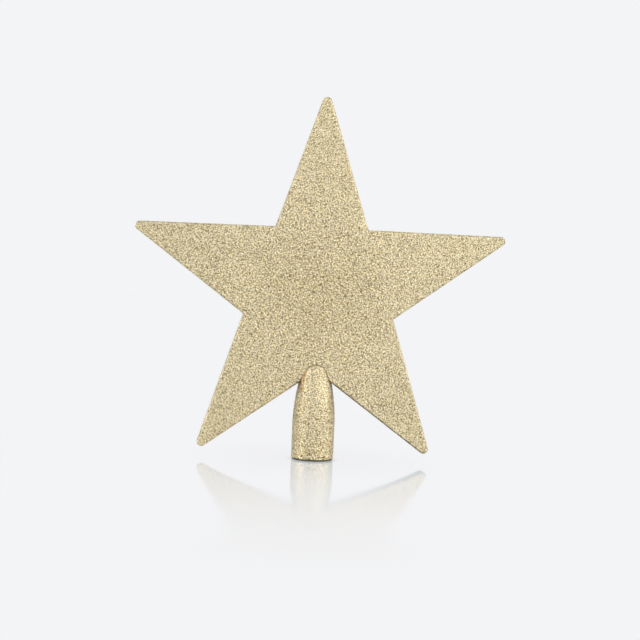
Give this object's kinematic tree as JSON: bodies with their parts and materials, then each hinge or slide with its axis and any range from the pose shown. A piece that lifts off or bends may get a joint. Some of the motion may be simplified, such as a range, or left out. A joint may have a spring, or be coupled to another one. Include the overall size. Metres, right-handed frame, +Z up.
{
  "type": "christmas tree topper star",
  "caption": "Flat hollow glitter-coated star on a bullet-shaped socket that slips over the top shoot of a Christmas tree.",
  "frame": {"origin": "centre of the socket's mouth, on the surface that the topper stands on", "axes": "+Z up along the socket's axis, +X across the star's width, the star's front faces -Y"},
  "size_m": [0.1904, 0.0218, 0.1865],
  "materials": {
    "shell_plastic": "champagne gold moulded plastic, bare inside",
    "socket_plastic": "dark bronze moulded plastic, bare inside and at the rim",
    "glitter": "champagne gold foil flakes in clear glue",
    "glue": "amber glue, glossy"
  },
  "bodies": {
    "root": {"star_front_shell": "shell_plastic", "star_back_shell": "shell_plastic", "tree_socket": "socket_plastic", "front_glitter_coat": "glitter", "back_glitter_coat": "glitter", "socket_glitter_coat": "glitter", "front_socket_glue": "glue", "back_socket_glue": "glue"}
  },
  "joints": []
}
